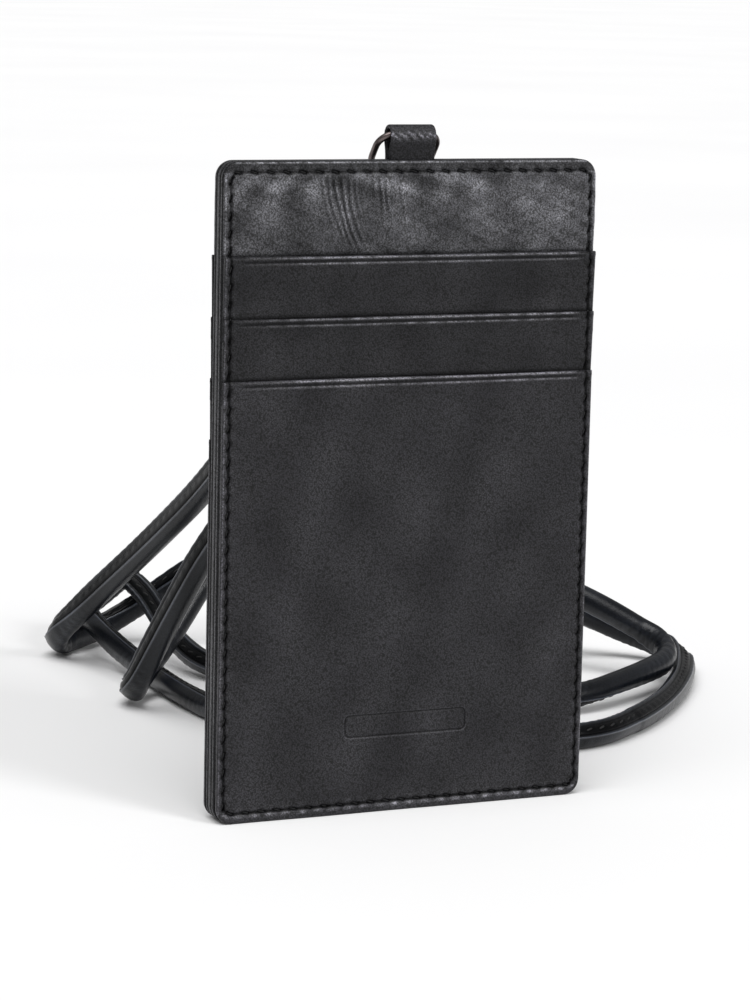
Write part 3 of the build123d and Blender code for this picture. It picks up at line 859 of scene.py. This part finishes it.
# ---- cord tab: a loop round the ring, and a sleeve sewn round both cord ends ----
TAB_LEAN = math.radians(45.0)
TAB_LENGTH = 17.33 * MM
TAB_HALF_W = 6.2 * MM
TAB_HALF_T = 3.15 * MM
TAB_NECK_HALF = (2.5 * MM, 1.3 * MM)
TAB_START = 2.2 * MM
TAB_SHOULDER = 6.0 * MM
TAB_EDGE_R = 0.5 * MM
TAB_ROWS = (8.5 * MM, 2.2 * MM)
TAB_STITCH_PITCH = 2.9 * MM
TAB_THREAD = (2.1 * MM, 0.22 * MM)    # a stitch's length and its thread's radius
TAB_ROUNDNESS = 2.6           # of the sleeve's section: 2 is an ellipse, more is squarer


def tab_half(along):
    """Half width and half thickness of the tab's sleeve."""
    flare = smooth_step(along, TAB_START - 1.0 * MM, TAB_SHOULDER + 1.0 * MM)
    fallen = rounding(TAB_LENGTH - along, TAB_EDGE_R)
    width = TAB_NECK_HALF[0] + (TAB_HALF_W - TAB_NECK_HALF[0]) * flare - fallen
    depth = TAB_NECK_HALF[1] + (TAB_HALF_T - TAB_NECK_HALF[1]) * flare - fallen
    for row in TAB_ROWS:
        depth = depth - 0.16 * MM * bell(along - (TAB_LENGTH - row), 0.7 * MM)
    return width, depth, flare


def tab_depth(x, along):
    """Half thickness of the sleeve at a place across it, pulled in between the cords."""
    width, depth, flare = tab_half(along)
    share = np.clip(np.abs(x) / width, 0.0, 1.0)
    round_over = (1.0 - share ** TAB_ROUNDNESS) ** (1 / TAB_ROUNDNESS)
    return depth * round_over * (1.0 - 0.17 * flare * bell(share, 0.3))


def make_tab(leather, thread):
    swing = next(joint for joint in frame["joints"] if joint["name"] == "cord_swing")
    eye = np.array(swing["pos_m"])
    down = np.array((0.0, math.sin(TAB_LEAN), -math.cos(TAB_LEAN)))
    over = np.array((0.0, math.cos(TAB_LEAN), math.sin(TAB_LEAN)))
    across = np.array((1.0, 0.0, 0.0))
    stations = np.concatenate([np.linspace(TAB_START, TAB_LENGTH - TAB_EDGE_R, 60,
                                           endpoint=False),
                               TAB_LENGTH - TAB_EDGE_R * np.linspace(1.0, 0.0, 7) ** 1.5])
    turns = np.linspace(0.0, 2 * math.pi, 96, endpoint=False)
    vertices = []
    for along in stations:
        width = tab_half(along)[0]
        places = width * np.sign(np.cos(turns)) * np.abs(np.cos(turns)) ** (2 / TAB_ROUNDNESS)
        depths = np.sign(np.sin(turns)) * tab_depth(places, along)
        wrinkle = 0.05 * MM * np.sin(along / (0.8 * MM) + 3.0 * np.cos(turns))
        depths = depths + np.sign(depths) * wrinkle * bell(along - 5.0 * MM, 2.5 * MM)
        vertices += list(eye + down * along + across * places[:, None] + over * depths[:, None])
    faces = tube_faces(len(stations), len(turns))
    sleeve = mesh_object("tab_leather", vertices, faces, leather)

    eye_r = 1.42 * MM
    leg = 0.62 * MM
    sides = [(leg, 4.5 * MM), (leg, 3.2 * MM), (0.75 * MM, 2.1 * MM)]
    outline = sides + [(eye_r * math.cos(angle), -eye_r * math.sin(angle))
                       for angle in np.radians(np.arange(-30.0, 211.0, 12.0))]
    outline += [(-off, along) for off, along in reversed(sides)]
    outline = np.array(outline)
    path = eye + over * outline[:, :1] + down * outline[:, 1:]
    steps = distances(path)
    path = read_line(np.linspace(0.0, steps[-1], 90), steps, path)
    normals = np.cross(across, unit(np.gradient(path, axis=0)))
    loop = strap("tab_loop_leather", path, normals, np.full(len(path), 4.9 * MM),
                 np.full(len(path), 0.72 * MM), across, leather)

    spots = []
    for row in TAB_ROWS:
        along = TAB_LENGTH - row
        for x in (-TAB_STITCH_PITCH, 0.0, TAB_STITCH_PITCH):
            height = float(tab_depth(np.array(x), along)) - 0.06 * MM
            for side in (-1.0, 1.0):
                centre = eye + down * along + across * x + over * (side * height)
                spots.append((centre, unit(across + 0.16 * down), side * over))
    threads = stitch_row("tab_threads", spots, *TAB_THREAD, thread)
    for piece in (sleeve, loop, threads):
        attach(piece, "cord")
    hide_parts("cord_tab")
    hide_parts("tab_stitching")
    return [sleeve, loop, threads]


# ---- materials ----
TONE_RANGE = 150.0            # how many times lighter tone 1 is than tone 0
SHINE_POWER = 0.6             # how far the gloss follows the tone
MOST_SPECULAR = 0.9


def node_tree(name):
    material = bpy.data.materials.new(name)
    material.use_nodes = True
    nodes = material.node_tree.nodes
    links = material.node_tree.links
    shader = nodes["Principled BSDF"]
    coordinates = nodes.new("ShaderNodeTexCoord")
    return material, nodes, links, shader, coordinates


def noise_node(nodes, links, coordinates, scale, detail=3.0, roughness=0.5):
    texture = nodes.new("ShaderNodeTexNoise")
    texture.inputs["Scale"].default_value = scale
    texture.inputs["Detail"].default_value = detail
    texture.inputs["Roughness"].default_value = roughness
    links.new(coordinates.outputs["Object"], texture.inputs["Vector"])
    return texture


def ramp_node(nodes, links, source, stops):
    """Colour ramp from a factor. Stops are (position, colour)."""
    ramp = nodes.new("ShaderNodeValToRGB")
    while len(ramp.color_ramp.elements) < len(stops):
        ramp.color_ramp.elements.new(0.5)
    for element, (position, colour) in zip(ramp.color_ramp.elements, stops):
        element.position = position
        element.color = (*colour, 1.0)
    links.new(source, ramp.inputs["Fac"])
    return ramp


def range_node(nodes, links, source, low, high):
    """Spreads a 0 to 1 value over low to high."""
    spread = nodes.new("ShaderNodeMapRange")
    spread.inputs["To Min"].default_value = low
    spread.inputs["To Max"].default_value = high
    links.new(source, spread.inputs["Value"])
    return spread


def math_node(nodes, links, operation, first, second):
    node = nodes.new("ShaderNodeMath")
    node.operation = operation
    links.new(first, node.inputs[0])
    node.inputs[1].default_value = second
    return node


def multiply_node(nodes, links, first, second):
    """One colour times another."""
    mix = nodes.new("ShaderNodeMixRGB")
    mix.blend_type = "MULTIPLY"
    mix.inputs["Fac"].default_value = 1.0
    links.new(first, mix.inputs["Color1"])
    links.new(second, mix.inputs["Color2"])
    return mix


def bump_node(nodes, links, height, distance, strength, below=None):
    bump = nodes.new("ShaderNodeBump")
    bump.inputs["Distance"].default_value = distance
    bump.inputs["Strength"].default_value = strength
    links.new(height, bump.inputs["Height"])
    if below is not None:
        links.new(below.outputs["Normal"], bump.inputs["Normal"])
    return bump


def join_surface(links, shader, colour, bump):
    """Gives the shader its colour and its relief."""
    links.new(colour.outputs["Color"], shader.inputs["Base Color"])
    links.new(bump.outputs["Normal"], shader.inputs["Normal"])


def leather_material(name, dark, light, rough, specular, grain, depth, contrast):
    """Dyed leather: pebbled grain, fine pores, uneven dye and uneven gloss, its colour and gloss
    scaled by the per-vertex tone, which holds painted shade and painted highlights.
    """
    material, nodes, links, shader, coordinates = node_tree(name)
    clouds = noise_node(nodes, links, coordinates, 95.0, 5.0, 0.6)
    dye = ramp_node(nodes, links, clouds.outputs["Fac"], [(0.32, dark), (0.68, light)])
    warp = noise_node(nodes, links, coordinates, 900.0, 2.0)
    shifted = nodes.new("ShaderNodeMixRGB")
    shifted.blend_type = "LINEAR_LIGHT"
    shifted.inputs["Fac"].default_value = 0.00045
    links.new(coordinates.outputs["Object"], shifted.inputs["Color1"])
    links.new(warp.outputs["Color"], shifted.inputs["Color2"])
    pebbles = nodes.new("ShaderNodeTexVoronoi")
    pebbles.feature = "SMOOTH_F1"
    pebbles.inputs["Scale"].default_value = 1.0 / grain
    pebbles.inputs["Smoothness"].default_value = 0.4
    links.new(shifted.outputs["Color"], pebbles.inputs["Vector"])
    wear_and_painted_light = [(1.0 + contrast,) * 3, (1.0,) * 3, (1.0 - contrast,) * 3]
    wear_and_painted_shading = ramp_node(nodes, links, pebbles.outputs["Distance"],
                     [(0.12, wear_and_painted_light[0]), (0.42, wear_and_painted_light[1]), (0.7, wear_and_painted_light[2])])
    grained = multiply_node(nodes, links, dye.outputs["Color"], wear_and_painted_shading.outputs["Color"])
    # The tone attribute carries painted shade and painted highlights into the base colour.
    given = nodes.new("ShaderNodeAttribute")
    given.attribute_name = "tone"
    excess = math_node(nodes, links, "SUBTRACT", given.outputs["Fac"], 0.5)
    factor = nodes.new("ShaderNodeMath")
    factor.operation = "POWER"
    factor.inputs[0].default_value = TONE_RANGE
    links.new(excess.outputs["Value"], factor.inputs[1])
    toned = multiply_node(nodes, links, grained.outputs["Color"], factor.outputs["Value"])
    gloss = noise_node(nodes, links, coordinates, 240.0, 6.0, 0.65)
    polish = range_node(nodes, links, gloss.outputs["Fac"], *rough)
    links.new(polish.outputs["Result"], shader.inputs["Roughness"])
    pores = noise_node(nodes, links, coordinates, 4200.0, 2.0)
    fine = bump_node(nodes, links, pores.outputs["Fac"], 0.5 * depth, 0.6)
    coarse = bump_node(nodes, links, pebbles.outputs["Distance"], depth, 0.9, fine)
    coarse.invert = True
    join_surface(links, shader, toned, coarse)
    shine = math_node(nodes, links, "POWER", factor.outputs["Value"], SHINE_POWER)
    level = math_node(nodes, links, "MULTIPLY", shine.outputs["Value"], specular)
    most = math_node(nodes, links, "MINIMUM", level.outputs["Value"], MOST_SPECULAR)
    links.new(most.outputs["Value"], shader.inputs["Specular IOR Level"])
    return material


def thread_material(name, dark, light):
    """Bonded thread: fine twisted strands."""
    material, nodes, links, shader, coordinates = node_tree(name)
    twist = nodes.new("ShaderNodeTexWave")
    twist.wave_type = "BANDS"
    twist.bands_direction = "DIAGONAL"
    twist.inputs["Scale"].default_value = 900.0
    twist.inputs["Distortion"].default_value = 1.5
    links.new(coordinates.outputs["Object"], twist.inputs["Vector"])
    tone = ramp_node(nodes, links, twist.outputs["Fac"], [(0.2, dark), (0.9, light)])
    bump = bump_node(nodes, links, twist.outputs["Fac"], 0.05 * MM, 0.5)
    join_surface(links, shader, tone, bump)
    shader.inputs["Roughness"].default_value = 0.7
    return material


def metal_material(name, dark, light):
    """Plated wire: dark metal with fine uneven gloss."""
    material, nodes, links, shader, coordinates = node_tree(name)
    patches = noise_node(nodes, links, coordinates, 500.0, 4.0)
    tone = ramp_node(nodes, links, patches.outputs["Fac"], [(0.3, dark), (0.8, light)])
    rough = range_node(nodes, links, patches.outputs["Fac"], 0.22, 0.4)
    links.new(rough.outputs["Result"], shader.inputs["Roughness"])
    scratches = noise_node(nodes, links, coordinates, 3000.0, 2.0)
    bump = bump_node(nodes, links, scratches.outputs["Fac"], 0.01 * MM, 0.4)
    join_surface(links, shader, tone, bump)
    shader.inputs["Metallic"].default_value = 1.0
    return material


def flat_material(name, dark, light, scale, roughness):
    """Board, felt or lining: a matt fibre surface."""
    material, nodes, links, shader, coordinates = node_tree(name)
    fibres = noise_node(nodes, links, coordinates, scale, 5.0, 0.65)
    tone = ramp_node(nodes, links, fibres.outputs["Fac"], [(0.3, dark), (0.75, light)])
    bump = bump_node(nodes, links, fibres.outputs["Fac"], 0.06 * MM, 0.6)
    join_surface(links, shader, tone, bump)
    shader.inputs["Roughness"].default_value = roughness
    return material


def finish_nodes(names, material):
    """Gives CAD nodes that stay as they are their material."""
    for name in names:
        mesh = frame["nodes"][name].data
        mesh.materials.clear()
        mesh.materials.append(material)


# ---- studio ----
def make_floor():
    half = 30.0
    floor = mesh_object("floor", [(-half, -half, 0), (half, -half, 0), (half, half, 0),
                                  (-half, half, 0)], [(0, 1, 2, 3)], floor_material(), False)


def floor_material():
    material, nodes, links, shader, coordinates = node_tree("floor_white")
    shade = noise_node(nodes, links, coordinates, 3.0, 2.0)
    tone = ramp_node(nodes, links, shade.outputs["Fac"],
                     [(0.2, (0.86, 0.86, 0.865)), (0.8, (0.9, 0.9, 0.9))])
    links.new(tone.outputs["Color"], shader.inputs["Base Color"])
    shader.inputs["Roughness"].default_value = 0.75
    shader.inputs["Specular IOR Level"].default_value = 0.2
    return material


def make_light(name, energy, angle, towards):
    data = bpy.data.lights.new(name, "SUN")
    data.energy = energy
    data.angle = math.radians(angle)
    light = bpy.data.objects.new(name, data)
    bpy.context.scene.collection.objects.link(light)
    light.rotation_euler = Vector(towards).to_track_quat("-Z", "Y").to_euler()


def make_studio():
    world = bpy.data.worlds.new("studio")
    world.use_nodes = True
    world.node_tree.nodes["Background"].inputs["Color"].default_value = (1.0, 1.0, 1.0, 1.0)
    world.node_tree.nodes["Background"].inputs["Strength"].default_value = 0.3
    bpy.context.scene.world = world
    bpy.context.scene.view_settings.view_transform = "Standard"
    make_light("overhead_light", 2.4, 50.0, (0.3, 0.35, -1.0))
    make_light("front_light", 1.2, 18.0, (-0.42, 0.85, -0.55))


# ---- assembly ----
make_camera()
make_studio()
make_floor()

rolled_leather = leather_material("rolled_leather", (0.004, 0.005, 0.0075),
                                  (0.0085, 0.01, 0.0135), (0.24, 0.38), 0.3,
                                  0.3 * MM, 0.03 * MM, 0.4)
panel_leather = leather_material("panel_leather", (0.022, 0.022, 0.026),
                                 (0.066, 0.066, 0.073), (0.34, 0.56), 0.42,
                                 0.3 * MM, 0.11 * MM, 0.85)
pocket_leather = leather_material("pocket_leather", (0.009, 0.009, 0.011),
                                  (0.0165, 0.016, 0.0185), (0.42, 0.62), 0.24,
                                  0.27 * MM, 0.09 * MM, 0.9)
face_leather = leather_material("face_leather", (0.013, 0.0125, 0.0155),
                                (0.02, 0.0195, 0.0225), (0.42, 0.6), 0.26,
                                0.28 * MM, 0.09 * MM, 0.85)
thread = thread_material("bonded_thread", (0.001, 0.001, 0.0012), (0.006, 0.006, 0.007))
gunmetal = metal_material("gunmetal", (0.09, 0.075, 0.075), (0.2, 0.165, 0.16))
board = flat_material("edge_board", (0.02, 0.02, 0.022), (0.05, 0.048, 0.05), 900.0, 0.8)
felt = flat_material("felt", (0.02, 0.02, 0.022), (0.06, 0.06, 0.062), 1500.0, 0.95)
lining = flat_material("lining_fabric", (0.008, 0.008, 0.009), (0.02, 0.02, 0.022), 2600.0, 0.7)

cord, cord_threads, cord_path = make_cord(rolled_leather, thread)
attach(cord, "cord")
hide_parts("neck_cord")
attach(cord_threads, "cord")
tab_pieces = make_tab(rolled_leather, thread)

make_panel("front_panel_leather", FRONT, "front_body", panel_leather)
make_panel("rear_panel_leather", REAR, "rear_body", panel_leather)
for side, facings in ((FRONT, front_pockets), (REAR, rear_pockets)):
    for number, node in enumerate(facings):
        last = number == len(facings) - 1
        make_facing(node + "_leather", side, node, number, last,
                    face_leather if last else pocket_leather)
make_seam("front_threads", FRONT, "front_stitching", len(front_pockets), thread)
make_seam("rear_threads", REAR, "rear_stitching", len(rear_pockets), thread)
make_hanger(face_leather)

finish_nodes(["ring"], gunmetal)
finish_nodes(["centre_board"], board)
finish_nodes(["front_padding", "rear_padding"], felt)
finish_nodes([name for name in frame["nodes"] if "_lining_" in name], lining)
